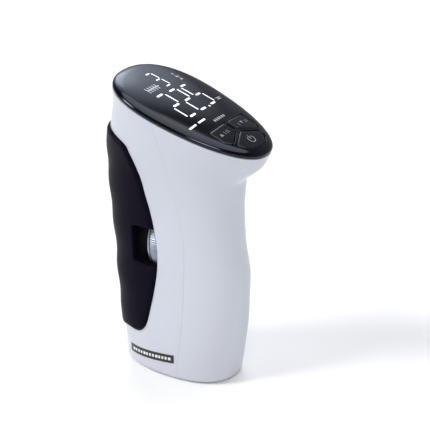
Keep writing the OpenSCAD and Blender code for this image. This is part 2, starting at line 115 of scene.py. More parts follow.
def slope(i, c):
    """Slope of column c at station i, flat at a peak so that the curve never overshoots."""
    last = len(STATIONS) - 1
    if i <= 0:
        return secant(0, c)
    if i >= last:
        return secant(last - 1, c)
    p, q = secant(i - 1, c), secant(i, c)
    return 0 if p * q <= 0 else 2 * p * q / (p + q)


def station(f, c):
    """Value of column c at height fraction f, on a smooth curve through the stations."""
    i = 0
    while i < len(STATIONS) - 2 and f >= STATIONS[i + 1][0]:
        i += 1
    a, b = STATIONS[i], STATIONS[i + 1]
    h = b[0] - a[0]
    t = (f - a[0]) / h
    return ((2*t**3 - 3*t**2 + 1) * a[c] + (t**3 - 2*t**2 + t) * h * slope(i, c)
            + (3*t**2 - 2*t**3) * b[c] + (t**3 - t**2) * h * slope(i + 1, c))


def taper(f):
    """How much the section at height fraction f narrows towards the palm side."""
    f = min(max(f, 0), 1)
    for (f0, t0), (f1, t1) in zip(TAPERS, TAPERS[1:]):
        if f <= f1:
            return t0 + (t1 - t0) * (f - f0) / (f1 - f0)
    return TAPERS[-1][1]


def power(c, p):
    """c to the power p, keeping its sign."""
    return math.copysign(abs(c) ** p, c)


def base_inset(z):
    """How far the rounded bottom edge draws the surface in at height z."""
    if z >= BASE_ROUND:
        return 0
    return BASE_ROUND - math.sqrt(max(0, BASE_ROUND ** 2 - (BASE_ROUND - z) ** 2))


def even_angles(n):
    """Angles that spread the points of a section evenly along its outline."""
    fine = 2000
    pts = []
    for k in range(fine + 1):
        t = 2 * math.pi * k / fine
        pts.append((1.6 * power(math.cos(t), 2 / ROUNDNESS), power(math.sin(t), 2 / ROUNDNESS)))
    run = [0]
    for p, q in zip(pts, pts[1:]):
        run.append(run[-1] + math.hypot(q[0] - p[0], q[1] - p[1]))
    out, j = [], 0
    for k in range(n):
        want = run[-1] * k / n
        while run[j + 1] < want:
            j += 1
        out.append(2 * math.pi * (j + (want - run[j]) / (run[j + 1] - run[j])) / fine)
    return out


ANGLES = even_angles(176)
HEAD_A = (station(1, 2) - station(1, 1)) / 2 / math.cos(HEAD_TILT)


def section(f, grow=0.0, up=0.0):
    """The body outline at height fraction f, moved outwards by grow and up by up."""
    xl, xr, b = station(f, 1), station(f, 2), station(f, 3)
    a = (xr - xl) / 2
    d = grow - base_inset(f * MEAN_RIM)
    egg = taper(f)
    drop = f * (RIM_RIGHT - RIM_LEFT) / 2
    ring = []
    for t in ANGLES:
        u = power(math.cos(t), 2 / ROUNDNESS)
        v = power(math.sin(t), 2 / ROUNDNESS)
        ring.append(((xl + xr) / 2 + (a + d) * u, (b * (1 - egg * u) + d) * v,
                     f * MEAN_RIM + drop * u * (a + d) / a + up))
    return ring


def lens_ring(grow, w, scale=1.0):
    """A ring of the head outline, in head coordinates."""
    b, egg = station(1, 3), taper(1)
    ring = []
    for t in ANGLES:
        u = power(math.cos(t), 2 / ROUNDNESS)
        v = power(math.sin(t), 2 / ROUNDNESS)
        ring.append((scale * (HEAD_A + grow) * u, scale * (b * (1 - egg * u) + grow) * v, w))
    return ring


def dome_at(scale):
    """Height of the lens top on the inner ring scaled by scale."""
    return DOME - DOME_FALL * scale ** DOME_POWER


def waves(z):
    """Shallow finger scallops down the front of the grip."""
    if z < SCALLOP_Z[0] or z > SCALLOP_Z[1]:
        return 0
    return SCALLOP * (math.cos(2 * math.pi * (z - SCALLOP_CREST_Z) / SCALLOP_PITCH) - 1) / 2


HEAD = Matrix.Translation((SHIFT_X + HEAD_X, 0, MEAN_RIM)) @ Matrix.Rotation(HEAD_TILT, 4, "Y")
ROW = Matrix.Translation((SHIFT_X, 0, 0))
SCALE = Matrix.Scale(MM, 4)


# ---------------------------------------------------------------- mesh helpers
def make(name, verts, faces, place=ROW):
    """A smooth-shaded mesh object from points in mm."""
    mesh = bpy.data.meshes.new(name)
    mesh.from_pydata([tuple(v) for v in verts], [], faces)
    mesh.transform(SCALE @ place)
    bm = bmesh.new()
    bm.from_mesh(mesh)
    bmesh.ops.recalc_face_normals(bm, faces=bm.faces)
    bm.to_mesh(mesh)
    bm.free()
    for p in mesh.polygons:
        p.use_smooth = True
    obj = bpy.data.objects.new(name, mesh)
    bpy.context.scene.collection.objects.link(obj)
    return obj


def skin_data(rings, capped=True):
    """Points and faces of a skin stretched over a stack of equal rings."""
    n, verts, faces = len(rings[0]), [], []
    for r in rings:
        verts.extend(r)
    for j in range(len(rings) - 1):
        for k in range(n):
            k2 = (k + 1) % n
            faces.append((j*n + k, j*n + k2, (j + 1)*n + k2, (j + 1)*n + k))
    if capped:
        faces.append(tuple(reversed(range(n))))
        faces.append(tuple((len(rings) - 1) * n + k for k in range(n)))
    return verts, faces


def skin(name, rings, place=ROW):
    return make(name, *skin_data(rings), place=place)


def prism(name, outline, y0=-40.0, y1=40.0, place=ROW):
    """A side-view outline (x, z) pulled along y."""
    n = len(outline)
    verts = [(x, y0, z) for x, z in outline] + [(x, y1, z) for x, z in outline]
    faces = [tuple(range(n)), tuple(reversed(range(n, 2 * n)))]
    faces += [(k, (k + 1) % n, n + (k + 1) % n, n + k) for k in range(n)]
    return make(name, verts, faces, place=place)


def rod_x(name, x0, x1, r, z, y=0.0, n=48):
    """A round rod along x."""
    turns = [2 * math.pi * k / n for k in range(n)]
    return skin(name, [[(x, y + r * math.cos(t), z + r * math.sin(t)) for t in turns] for x in (x0, x1)])


def boolean(obj, tool, op="DIFFERENCE"):
    """Cuts the tool out of the object, or combines them, and removes the tool."""
    mod = obj.modifiers.new("cut", "BOOLEAN")
    mod.operation = op
    mod.solver = "EXACT"
    mod.object = tool
    settle(obj)
    mesh = tool.data
    bpy.data.objects.remove(tool)
    bpy.data.meshes.remove(mesh)


def settle(obj):
    """Applies every modifier on the object."""
    deps = bpy.context.evaluated_depsgraph_get()
    mesh = bpy.data.meshes.new_from_object(obj.evaluated_get(deps))
    old = obj.data
    obj.modifiers.clear()
    obj.data = mesh
    bpy.data.meshes.remove(old)


def soften(obj, degrees=32.0):
    """Smooth shading everywhere but across edges sharper than this."""
    bm = bmesh.new()
    bm.from_mesh(obj.data)
    bmesh.ops.remove_doubles(bm, verts=bm.verts, dist=2e-7)
    limit = math.radians(degrees)
    for f in bm.faces:
        f.smooth = True
    for e in bm.edges:
        e.smooth = not (len(e.link_faces) == 2 and e.calc_face_angle(0) > limit)
    bm.to_mesh(obj.data)
    bm.free()


def smooth_line(points, per=6):
    """Catmull-Rom points through a side-view line."""
    out = []
    n = len(points)
    for i in range(n - 1):
        p0 = points[max(i - 1, 0)]
        p1, p2 = points[i], points[i + 1]
        p3 = points[min(i + 2, n - 1)]
        for k in range(per):
            t = k / per
            out.append(tuple(0.5 * (2*p1[c] + (p2[c] - p0[c])*t
                                    + (2*p0[c] - 5*p1[c] + 4*p2[c] - p3[c])*t*t
                                    + (3*p1[c] - p0[c] - 3*p2[c] + p3[c])*t**3) for c in (0, 1)))
    out.append(points[-1])
    return out


def shift_line(line, off):
    """The line moved sideways by off, to the left of its direction."""
    out = []
    for i, p in enumerate(line):
        a, b = line[max(i - 1, 0)], line[min(i + 1, len(line) - 1)]
        dx, dz = b[0] - a[0], b[1] - a[1]
        n = math.hypot(dx, dz)
        out.append((p[0] - dz / n * off, p[1] + dx / n * off))
    return out


GRIP_CURVE = smooth_line(GRIP_LINE)
SEAM_CURVE = smooth_line(SEAM_LINE)


# ---------------------------------------------------------------- materials
def material(name, color, rough, metal=0.0, coat=0.0, coat_rough=0.1, spec=0.5, tint=(1, 1, 1)):
    """A plain finish, with its node tree and its shader for more nodes to be joined to."""
    mat = bpy.data.materials.new(name)
    mat.use_nodes = True
    nodes, links = mat.node_tree.nodes, mat.node_tree.links
    bsdf = nodes["Principled BSDF"]
    bsdf.inputs["Base Color"].default_value = (*color, 1)
    bsdf.inputs["Roughness"].default_value = rough
    bsdf.inputs["Metallic"].default_value = metal
    bsdf.inputs["Coat Weight"].default_value = coat
    bsdf.inputs["Coat Roughness"].default_value = coat_rough
    bsdf.inputs["Specular IOR Level"].default_value = spec
    bsdf.inputs["Specular Tint"].default_value = (*tint, 1)
    mat.diffuse_color = (*color, 1)
    return mat, nodes, links, bsdf


def noise(nodes, links, scale, detail=4.0, stretch=(1, 1, 1)):
    """Noise fixed to the object, drawn out along an axis by stretch."""
    where = nodes.new("ShaderNodeTexCoord")
    mapping = nodes.new("ShaderNodeMapping")
    mapping.inputs["Scale"].default_value = stretch
    tex = nodes.new("ShaderNodeTexNoise")
    tex.inputs["Scale"].default_value = scale
    tex.inputs["Detail"].default_value = detail
    links.new(where.outputs["Object"], mapping.inputs["Vector"])
    links.new(mapping.outputs["Vector"], tex.inputs["Vector"])
    return tex


def ramp(nodes, links, source, low, high, at=(0.3, 0.7)):
    """Colour from low to high as the source goes from one end of at to the other."""
    node = nodes.new("ShaderNodeValToRGB")
    node.color_ramp.elements[0].position = at[0]
    node.color_ramp.elements[1].position = at[1]
    node.color_ramp.elements[0].color = (*low, 1)
    node.color_ramp.elements[1].color = (*high, 1)
    links.new(source, node.inputs["Fac"])
    return node


def grey(v):
    return (v, v, v)


def surfaced(name, low, high, rough, rough_spread, scale, bump=0.02, bump_scale=None, depth=0.00002,
             stretch=(1, 1, 1), at=(0.3, 0.7), **kw):
    """A finish with mottled colour, varied roughness and a fine bump."""
    mat, nodes, links, bsdf = material(name, high, rough, **kw)
    broad = noise(nodes, links, scale, stretch=stretch)
    mottle = ramp(nodes, links, broad.outputs["Fac"], low, high, at)
    links.new(mottle.outputs["Color"], bsdf.inputs["Base Color"])
    smoothest, roughest = max(rough - rough_spread, 0.02), rough + rough_spread
    worn = ramp(nodes, links, broad.outputs["Fac"], grey(smoothest), grey(roughest), at)
    links.new(worn.outputs["Color"], bsdf.inputs["Roughness"])
    fine = noise(nodes, links, bump_scale or scale * 8, detail=2.0, stretch=stretch)
    node = nodes.new("ShaderNodeBump")
    node.inputs["Strength"].default_value = bump
    node.inputs["Distance"].default_value = depth
    links.new(fine.outputs["Fac"], node.inputs["Height"])
    links.new(node.outputs["Normal"], bsdf.inputs["Normal"])
    return mat


# the two colours are the ends of the mottle, then roughness, its spread, and the noise scale
MAT_WHITE = surfaced("white_shell", (0.546, 0.566, 0.634), (0.558, 0.578, 0.647), 0.30, 0.015, 11,
                     bump=0.10, bump_scale=1400, at=(0.1, 0.9), coat=0.12, coat_rough=0.15)
MAT_GRIP = surfaced("grip_black", (0.0030, 0.0024, 0.0072), (0.0046, 0.0038, 0.0100), 0.40, 0.04, 60,
                    bump=0.35, bump_scale=2600, depth=0.00004, spec=0.035, tint=(0.75, 0.70, 1.0))
MAT_LENS = surfaced("display_lens", (0.0025, 0.0025, 0.0035), (0.004, 0.004, 0.005), 0.10, 0.015, 14,
                    bump=0.01, spec=0.42, tint=(0.70, 0.76, 1.0))
MAT_KEYS = surfaced("keys", (0.006, 0.006, 0.008), (0.010, 0.010, 0.012), 0.16, 0.03, 40,
                    bump=0.05, spec=0.4, tint=(0.74, 0.78, 1.0))
MAT_GASKET = surfaced("gasket", (0.006, 0.006, 0.006), (0.012, 0.012, 0.012), 0.6, 0.08, 60, bump=0.3)
MAT_WHEEL = surfaced("wheel_metal", (0.30, 0.325, 0.39), (0.41, 0.435, 0.51), 0.46, 0.06, 90,
                     bump=0.3, stretch=(1, 8, 8), metal=1.0)
MAT_STEEL = surfaced("screw_steel", (0.50, 0.51, 0.53), (0.62, 0.63, 0.65), 0.30, 0.06, 120,
                     bump=0.2, metal=1.0)
MAT_CHASSIS = surfaced("chassis_steel", (0.45, 0.46, 0.48), (0.58, 0.59, 0.61), 0.35, 0.06, 60,
                       bump=0.2, stretch=(1, 1, 12), metal=1.0)
MAT_BEAM = surfaced("beam_aluminium", (0.62, 0.63, 0.65), (0.74, 0.75, 0.77), 0.33, 0.05, 80,
                    bump=0.3, stretch=(1, 1, 14), metal=1.0)
MAT_BRASS = surfaced("bush_brass", (0.55, 0.38, 0.14), (0.70, 0.50, 0.20), 0.30, 0.05, 80,
                     bump=0.2, metal=1.0)
MAT_CARRIER = surfaced("carrier_plastic", (0.003, 0.003, 0.004), (0.006, 0.006, 0.007), 0.6, 0.06, 50,
                       bump=0.3, spec=0.2)
MAT_TRAY = surfaced("tray_plastic", (0.05, 0.05, 0.055), (0.07, 0.07, 0.075), 0.5, 0.06, 50, bump=0.3)
MAT_BOARD = surfaced("board", (0.012, 0.09, 0.035), (0.02, 0.13, 0.05), 0.4, 0.05, 70, bump=0.1)
MAT_CHIP = surfaced("chip", (0.012, 0.012, 0.012), (0.02, 0.02, 0.02), 0.5, 0.05, 90, bump=0.2)
MAT_GAUGE = surfaced("gauge_film", (0.42, 0.20, 0.05), (0.55, 0.28, 0.08), 0.35, 0.05, 90, bump=0.1)
MAT_CELL = surfaced("cell_wrap", (0.02, 0.07, 0.20), (0.03, 0.10, 0.27), 0.25, 0.04, 40, bump=0.05)
MAT_LABEL = surfaced("label_black", (0.006, 0.006, 0.007), (0.012, 0.012, 0.013), 0.3, 0.05, 80,
                     bump=0.1)
MAT_PRINT = surfaced("label_print", (0.70, 0.71, 0.73), (0.82, 0.83, 0.85), 0.4, 0.05, 80, bump=0.1)
MAT_CABLE = surfaced("cable_ribbon", (0.30, 0.30, 0.32), (0.42, 0.42, 0.44), 0.45, 0.05, 80,
                     bump=0.2, stretch=(12, 1, 1))


def lit(name, color, strength):
    """A glowing finish for the display's marks."""
    mat, nodes, links, bsdf = material(name, color, 0.3)
    glow = noise(nodes, links, 160, detail=2.0)
    pale = ramp(nodes, links, glow.outputs["Fac"], tuple(0.9 * c for c in color), color)
    links.new(pale.outputs["Color"], bsdf.inputs["Base Color"])
    links.new(pale.outputs["Color"], bsdf.inputs["Emission Color"])
    bsdf.inputs["Emission Strength"].default_value = strength
    return mat


MAT_LIT = lit("lit_segments", (0.88, 0.91, 0.95), 0.75)
MAT_LIT_DIM = lit("lit_icons", (0.40, 0.42, 0.47), 0.25)
MAT_MARK = surfaced("key_marks", (0.20, 0.20, 0.22), (0.27, 0.27, 0.29), 0.4, 0.05, 80, bump=0.05)

# CAD nodes that keep their own shape
CAD_FINISH = {
    "rim_gasket": MAT_GASKET,
    "tact_switches": MAT_CHIP,
    "display_module": MAT_CHIP,
    "main_board": MAT_BOARD,
    "controller_chip": MAT_CHIP,
    "buzzer": MAT_CHIP,
    "board_screws": MAT_STEEL,
    "chassis": MAT_CHASSIS,
    "load_beam": MAT_BEAM,
    "strain_gauges": MAT_GAUGE,
    "beam_spacers": MAT_STEEL,
    "beam_screws": MAT_STEEL,
    "thrust_washer": MAT_STEEL,
    "spindle": MAT_STEEL,
    "guide_pins": MAT_STEEL,
    "guide_bushes": MAT_BRASS,
    "grip_carrier": MAT_CARRIER,
    "grip_screws": MAT_STEEL,
    "spindle_pin": MAT_STEEL,
    "shell_screws": MAT_STEEL,
    "battery_tray": MAT_TRAY,
    "batteries": MAT_CELL,
    "battery_contacts": MAT_STEEL,
    "battery_door": MAT_WHITE,
    "sensor_cable": MAT_CABLE,
}


for node, mat in CAD_FINISH.items():
    for material_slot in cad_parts[node].material_slots:
        material_slot.material = mat


def finish_with(obj, mat):
    obj.data.materials.clear()
    obj.data.materials.append(mat)


def piece(obj, mat, body, slot, *nodes, angle=32.0):
    """Finishes a mesh, makes it ride on its body, and hides the CAD nodes it stands in for."""
    soften(obj, angle)
    finish_with(obj, mat)
    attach(obj, body)
    if nodes:
        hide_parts(*nodes)
    return obj


# ---------------------------------------------------------------- housing shells
# section heights as fractions, closer together over the rounded bottom edge
LEVELS = [0, 0.0006, 0.0015, 0.003, 0.005, 0.0075, 0.0105, 0.014, 0.018, 0.022, 0.026]
LEVELS += [0.026 + 0.974 * (i + 1) / 120 for i in range(120)]


def body_solid():
    """The whole housing without its hollow."""
    return skin("body", [section(f) for f in LEVELS])


def cavity(depth):
    """The hollow inside the walls, open through the head's rim."""
    rings = [section(0.0165 + 0.98 * i / 60, -depth) for i in range(61)]
    rings += [section(1, -depth, 0), section(1, -depth, 3)]
    return skin("cavity", rings)


def pocket(off):
    """Side prism in front of the grip line, grown by off."""
    return prism("pocket", shift_line(GRIP_CURVE, off))


def door_cutter():
    """The opening for the battery door through the underside."""
    x0, x1 = DOOR_X - DOOR_HALF_X, DOOR_X + DOOR_HALF_X
    outline = [(x0, -1), (x1, -1), (x1, WALL + 1), (x0, WALL + 1)]
    return prism("door_cut", outline, -DOOR_HALF_Y, DOOR_HALF_Y)


def wheel_cup(grow=0.0):
    """The round recess that the adjusting wheel turns in."""
    return rod_x("cup", -30, WHEEL_BACK + grow, WHEEL_R + WHEEL_CLEAR + grow, SPINDLE_Z, n=96)


def front_shell():
    """The finger-side shell: a bulkhead behind the grip, with the wheel's recess and the holes."""
    hollow = cavity(WALL)
    boolean(hollow, pocket(BULKHEAD))
    boolean(hollow, wheel_cup(BULKHEAD))
    for y, z in SCREW_SPOTS:
        boolean(hollow, rod_x("boss", -22, 5, BOSS_R, z, y))
    shell = body_solid()
    outline = [(x - SEAM / 2, z) for x, z in SEAM_CURVE] + [(-FAR_X, ABOVE), (-FAR_X, -1)]
    boolean(shell, prism("front_half", outline), "INTERSECT")
    boolean(shell, hollow)
    boolean(shell, pocket(0))
    boolean(shell, wheel_cup())
    boolean(shell, door_cutter())
    boolean(shell, rod_x("hole", -30, 10, SPINDLE_HOLE_R, SPINDLE_Z))
    for z in PIN_Z:
        boolean(shell, rod_x("hole", -30, 10, PIN_HOLE_R, z))
    for y, z in SCREW_SPOTS:
        boolean(shell, rod_x("hole", -30, -8, SCREW_R, z, y))
    shell.name = "front_shell_skin"
    return shell


def rear_shell():
    """The palm-side shell."""
    shell = body_solid()
    outline = [(x + SEAM / 2, z) for x, z in SEAM_CURVE] + [(FAR_X, ABOVE), (FAR_X, -1)]
    boolean(shell, prism("rear_half", outline), "INTERSECT")
    boolean(shell, cavity(WALL))
    boolean(shell, door_cutter())
    shell.name = "rear_shell_skin"
    return shell


def grip_skirt():
    """Thin tongue inside the grip that keeps the joint closed while the grip slides out."""
    outside = [section(0.14 + 0.76 * i / 60, -GRIP_DEPTH - SKIRT_CLEAR) for i in range(61)]
    inside = [section(0.13 + 0.79 * i / 60, -GRIP_DEPTH - SKIRT_CLEAR - SKIRT_WALL) for i in range(61)]
    skirt = skin("skirt", outside)
    boolean(skirt, skin("inner", inside))
    boolean(skirt, prism("reach", [(x + SKIRT_OVERLAP, z) for x, z in GRIP_CURVE]), "INTERSECT")
    boolean(skirt, prism("short", [(x - SKIRT_LONG, z) for x, z in GRIP_CURVE]))
    z0, z1 = SKIRT_GAP
    boolean(skirt, prism("gap", [(-FAR_X, z0), (WHEEL_BACK, z0), (WHEEL_BACK, z1), (-FAR_X, z1)]))
    skirt.name = "grip_skirt"
    return skirt


piece(front_shell(), MAT_WHITE, "housing", "white_shell", "front_shell")
piece(rear_shell(), MAT_WHITE, "housing", "white_shell", "rear_shell")
piece(grip_skirt(), MAT_WHITE, "housing", "white_shell")


# ---------------------------------------------------------------- finger grip
RIM_ROLL, RIM_SINK = 2.2, 1.3   # width and depth of the rolled rim
FRONT_HALF = 14                 # the rim sinks along x within this far of the mirror plane


def polyline_distance(line, x, z):
    """Distance in side view from (x, z) to the line."""
    best = 1e9
    for (x0, z0), (x1, z1) in zip(line, line[1:]):
        dx, dz = x1 - x0, z1 - z0
        t = max(0, min(1, ((x - x0) * dx + (z - z0) * dz) / (dx * dx + dz * dz)))
        best = min(best, math.hypot(x - x0 - t * dx, z - z0 - t * dz))
    return best


def grip_section(f, grow):
    """A body section with the finger scallops pressed into its front."""
    out = []
    for x, y, z in section(f, grow):
        front = max(0, min(1, (-x - SCALLOP_FROM) / SCALLOP_FADE))
        out.append((x - waves(z) * front, y, z))
    return out


def grip_cover():
    """The grip skin: a grown body surface trimmed by the grip line, with its rim rolled over."""
    rings = [grip_section(0.1 + 0.82 * i / 150, GRIP_PROUD) for i in range(151)]
    grip = skin("grip", rings)
    edge = shift_line(GRIP_CURVE, -GRIP_GAP)
    boolean(grip, prism("trim", edge), "INTERSECT")
    # roll the rim over: points near the trimmed edge sink towards the body
    for v in grip.data.vertices:
        x, y, z = v.co.x / MM - SHIFT_X, v.co.y / MM, v.co.z / MM
        d = polyline_distance(edge, x, z)
        if d < RIM_ROLL:
            sink = RIM_SINK * (1 - math.sqrt(max(0, 1 - (1 - d / RIM_ROLL) ** 2)))
            v.co.y -= math.copysign(sink * MM, y) * min(1, abs(y) / 6) * 0.9
            if abs(y) < FRONT_HALF:
                v.co.x += sink * MM * (1 - abs(y) / FRONT_HALF)
    hollow = skin("grip_hollow", [section(0.14 + 0.74 * i / 80, -GRIP_DEPTH) for i in range(81)])
    boolean(grip, hollow)
    for sign in (-1, 1):
        boolean(grip, window_cutter(sign))
    grip.name = "grip_skin"
    return grip


def rounded(outline, r, n=8):
    """Outline with its corners rounded to radius r."""
    out = []
    m = len(outline)
    for i in range(m):
        p, a, b = Vector(outline[i]), Vector(outline[i - 1]), Vector(outline[(i + 1) % m])
        da, db = (a - p).normalized(), (b - p).normalized()
        half = math.acos(max(-1, min(1, da.dot(db)))) / 2
        cut = min(r / math.tan(half), (a - p).length * 0.49, (b - p).length * 0.49)
        rad = cut * math.tan(half)
        centre = p + (da + db).normalized() * rad / math.sin(half)
        s, e = p + da * cut - centre, p + db * cut - centre
        a0 = math.atan2(s.y, s.x)
        a1 = math.atan2(e.y, e.x)
        turn = (a1 - a0 + math.pi) % (2 * math.pi) - math.pi
        for k in range(n + 1):
            t = a0 + turn * k / n
            out.append((centre.x + rad * math.cos(t), centre.y + rad * math.sin(t)))
    return out


def outline_grown(outline, grow):
    """A convex outline moved outwards by grow, its corners mitred."""
    m = len(outline)
    area = sum(outline[i - 1][0] * outline[i][1] - outline[i][0] * outline[i - 1][1] for i in range(m))
    sign = 1 if area > 0 else -1
    lines = []
    for i in range(m):
        p, q = Vector(outline[i]), Vector(outline[(i + 1) % m])
        d = (q - p).normalized()
        n = Vector((d.y, -d.x)) * sign
        lines.append((p + n * grow, d))
    out = []
    for i in range(m):
        (p, d), (q, e) = lines[i - 1], lines[i]
        cross = d.x * e.y - d.y * e.x
        t = ((q.x - p.x) * e.y - (q.y - p.y) * e.x) / cross
        hit = p + d * t
        out.append((hit.x, hit.y))
    return out


def surface_y(x, z):
    """Half depth of the body surface at the side-view point (x, z)."""
    lo, hi = 0.0, 1.0
    for _ in range(40):
        f = (lo + hi) / 2
        xl, xr = station(f, 1), station(f, 2)
        u = max(-1, min(1, (x - (xl + xr) / 2) / ((xr - xl) / 2)))
        if f * MEAN_RIM + f * (RIM_RIGHT - RIM_LEFT) / 2 * u < z:
            lo = f
        else:
            hi = f
    xl, xr, b = station(f, 1), station(f, 2), station(f, 3)
    u = max(-1, min(1, (x - (xl + xr) / 2) / ((xr - xl) / 2)))
    d = -base_inset(f * MEAN_RIM)
    return (b * (1 - taper(f) * u) + d) * (1 - abs(u) ** ROUNDNESS) ** (1 / ROUNDNESS)


# side-view outline (x, z) of a wheel window
WINDOW = [(-21.6, 80.8), (3, 80.8), (3, 59.4), (-8, 60.4), (-21.6, 61.3)]
WINDOW_CORNER = 1.8
WINDOW_INNER_Y = 12.0
# (outward step, depth) of the cutter's rings from outside the grip to its inner wall
WINDOW_LIP = [(1.5, -0.6), (0.95, -0.05), (0.5, 0.12), (0.2, 0.4), (0.04, 0.8), (0.0, 1.3)]


def window_cutter(sign):
    """Cutter for a wheel window whose outer lip is rolled over the grip surface."""
    rings = []
    for grow, depth in WINDOW_LIP:
        ring = rounded(outline_grown(WINDOW, grow), WINDOW_CORNER + grow)
        rings.append([(x, sign * (surface_y(x, z) + GRIP_PROUD - depth), z) for x, z in ring])
    rings.append([(x, sign * WINDOW_INNER_Y, z) for x, y, z in rings[-1]])
    return skin("window", rings)


piece(grip_cover(), MAT_GRIP, "grip", "grip_black", "grip_cover")


# ---------------------------------------------------------------- display head
# The head's own axes, from the middle of its rim: u towards the palm end, v towards the far side,
# and w up from the rim plane.
# (outward step, w) of the lens rings, from the rim up and over the rolled edge
LENS_EDGE = [(-0.58, 0.4), (-0.3, 0.5), (-0.1, 0.72), (0.0, 0.98), (0.02, 1.25), (-0.05, 1.55),
             (-0.22, 1.85), (-0.48, 2.14), (-0.84, 2.4), (-1.3, 2.64), (-1.9, 2.87), (-2.65, 3.1),
             (-3.5, 3.3)]
DOME_INSET = -3.5
DOME_RINGS = 26
# (outward step, w, scale) of the rings of the hollow under the lens
LENS_HOLLOW = [(-2.3, 0.1, 1), (-2.5, 1.1, 1), (-2.5, 1.7, 0.55), (-2.5, 1.8, 0.3)]
# (outward step, rise above the lens top) of the key holes' chamfer and of the key caps' rounded edge
HOLE_CHAMFER = [(0.3, -0.3), (0.4, -0.12), (0.6, 0.04), (1.3, 0.6)]
CAP_EDGE = [(0, -0.6), (-0.06, -0.32), (-0.2, -0.13), (-0.45, -0.03), (-0.9, 0.0), (-1.6, 0.0)]


def lens_height(u, v):
    """Height of the lens top above the rim plane at a head position inside the rolled edge."""
    a = HEAD_A + DOME_INSET
    s = 0.5
    for _ in range(12):
        b = station(1, 3) * (1 - taper(1) * u / (s * a)) + DOME_INSET
        s = max((abs(u / a) ** ROUNDNESS + abs(v / b) ** ROUNDNESS) ** (1 / ROUNDNESS), 0.02)
    return dome_at(min(s, 1))


KEY_CORNER = 1.3
KEY_SIDE = [(16.4, 1.2), (16.6, 15.2), (25.2, 15.4), (28.6, 12.2), (22.9, 1.2)]
KEY_END = [(24.8, 0), (30, 11.4), (33.6, 9.4), (36.2, 5.6), (37, 0), (36.2, -5.6), (33.6, -9.4),
           (30, -11.4)]
KEYS = {"key_down": KEY_SIDE, "key_up": [(u, -v) for u, v in reversed(KEY_SIDE)],
        "key_set": KEY_END}


def key_ring(outline, grow, w):
    """The key's outline moved outwards by grow, with rounded corners, at height w."""
    return [(u, v, w) for u, v in rounded(outline_grown(outline, grow), max(KEY_CORNER + grow, 0.5))]


def on_lens(ring, rise):
    """The ring lifted to rise above the lens top."""
    return [(u, v, lens_height(u, v) + rise) for u, v, w in ring]


def display_lens():
    """The domed lens with a hollow underside and three chamfered key holes."""
    rings = [lens_ring(g, w) for g, w in LENS_EDGE]
    for k in range(1, DOME_RINGS):
        s = 1 - k / DOME_RINGS
        rings.append(lens_ring(DOME_INSET, dome_at(s), s))
    lens = skin("lens", rings, HEAD)
    boolean(lens, skin("under", [lens_ring(*row) for row in LENS_HOLLOW], HEAD))
    for outline in KEYS.values():
        # each hole is chamfered where it meets the domed top
        rings = [key_ring(outline, 0.3, -1)]
        for grow, rise in HOLE_CHAMFER:
            rings.append(on_lens(key_ring(outline, grow, 0), rise))
        boolean(lens, skin("key_hole", rings, HEAD))
    lens.name = "display_lens_skin"
    return lens


def key_cap(name, outline):
    """A key with softly rounded edges and a slight crown."""
    rings = [key_ring(outline, 0.8, 0.1), key_ring(outline, 0.8, 0.9), key_ring(outline, 0, 0.9)]
    for grow, rise in CAP_EDGE:
        rings.append(on_lens(key_ring(outline, grow, 0), rise - KEY_SINK))
    return skin(name + "_cap", rings, HEAD)


piece(display_lens(), MAT_LENS, "housing", "display_lens", "display_lens", angle=24)
for key, outline in KEYS.items():
    piece(key_cap(key, outline), MAT_KEYS, key, "keys", key)


def decal(name, outlines, mat, body, slot, lift=0.02, thick=0.05, nodes=()):
    """Thin marks laid on the head: each outline is a list of (u, v) points."""
    verts, faces = [], []
    for pts in outlines:
        n, at = len(pts), len(verts)
        for level in (lift, lift + thick):
            for u, v in pts:
                verts.append((u, v, lens_height(u, v) + level))
        faces.append(tuple(at + k for k in reversed(range(n))))
        faces.append(tuple(at + n + k for k in range(n)))
        faces += [(at + k, at + (k + 1) % n, at + n + (k + 1) % n, at + n + k) for k in range(n)]
    obj = make(name, verts, faces, HEAD)
    return piece(obj, mat, body, slot, *nodes)


def bar(a, b, wide):
    """One lit segment from a to b with pointed ends."""
    a, b = Vector(a), Vector(b)
    d = (b - a).normalized()
    s = Vector((-d.y, d.x)) * wide / 2
    e = d * wide / 2
    return [tuple(p) for p in (a, a + e + s, b - e + s, b, b - e - s, a + e - s)]


def box(u0, v0, u1, v1):
    """A rectangle between two corners."""
    return [(u0, v0), (u1, v0), (u1, v1), (u0, v1)]


# ends of each stroke as fractions of a digit's height and width
SEGMENTS = {"top": ((0, 0), (0, 1)), "ur": ((0, 1), (0.5, 1)), "lr": ((0.5, 1), (1, 1)),
            "bottom": ((1, 0), (1, 1)), "ll": ((0.5, 0), (1, 0)), "ul": ((0, 0), (0.5, 0)),
            "mid": ((0.5, 0), (0.5, 1))}
TWO = ("top", "ur", "mid", "ll", "bottom")
THREE = ("top", "ur", "mid", "lr", "bottom")
FIVE = ("top", "ul", "mid", "lr", "bottom")
GAP_SHARE, ACROSS_SHARE, ALONG_SHARE = 0.68, 0.95, 0.64


def digit(lit_names, u, v, high, wide, stroke):
    """The lit strokes of one digit whose first corner is at (u, v)."""
    out = []
    gap = stroke * GAP_SHARE
    for name in lit_names:
        (a0, a1), (b0, b1) = SEGMENTS[name]
        p = Vector((u + a0 * high, v + a1 * wide))
        q = Vector((u + b0 * high, v + b1 * wide))
        d = (q - p).normalized() * gap
        # the bars across a digit are broader than the strokes along it
        across = a0 == b0
        out.append(bar(p + d, q - d, stroke * (ACROSS_SHARE if across else ALONG_SHARE)))
    return out


